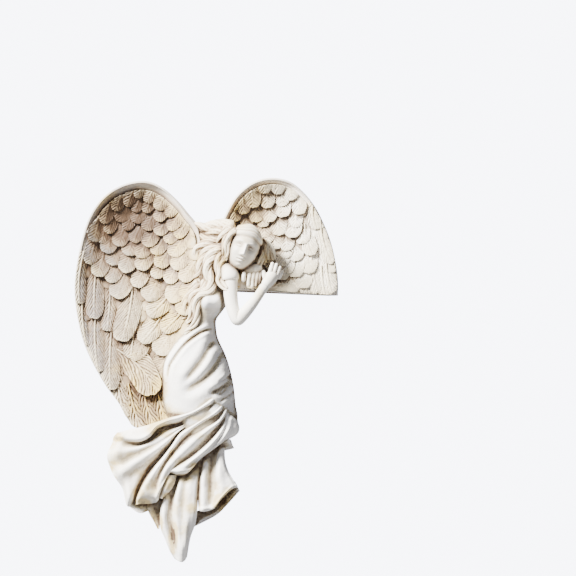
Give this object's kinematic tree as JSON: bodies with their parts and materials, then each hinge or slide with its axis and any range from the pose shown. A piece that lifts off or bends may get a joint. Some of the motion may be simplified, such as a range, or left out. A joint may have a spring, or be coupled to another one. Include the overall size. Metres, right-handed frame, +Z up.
{
  "type": "corner angel sculpture",
  "caption": "Cast resin angel that sits on the top corner of a door frame: a small wing stands on the frame and a big wing hangs beside it, with the figure's head leaning on folded arms.",
  "frame": {"origin": "on the flat back, level with the underside of the ledge, behind the figure's chest", "axes": "+Z up, +X to the right seen from the front, +Y into the wall, so the front faces -Y"},
  "size_m": [0.1215, 0.0267, 0.1784],
  "materials": {
    "antiqued_resin": "antique ivory cast resin with a brown wash in its recesses"
  },
  "bodies": {
    "root": {"corner_angel": "antiqued_resin"}
  },
  "joints": []
}
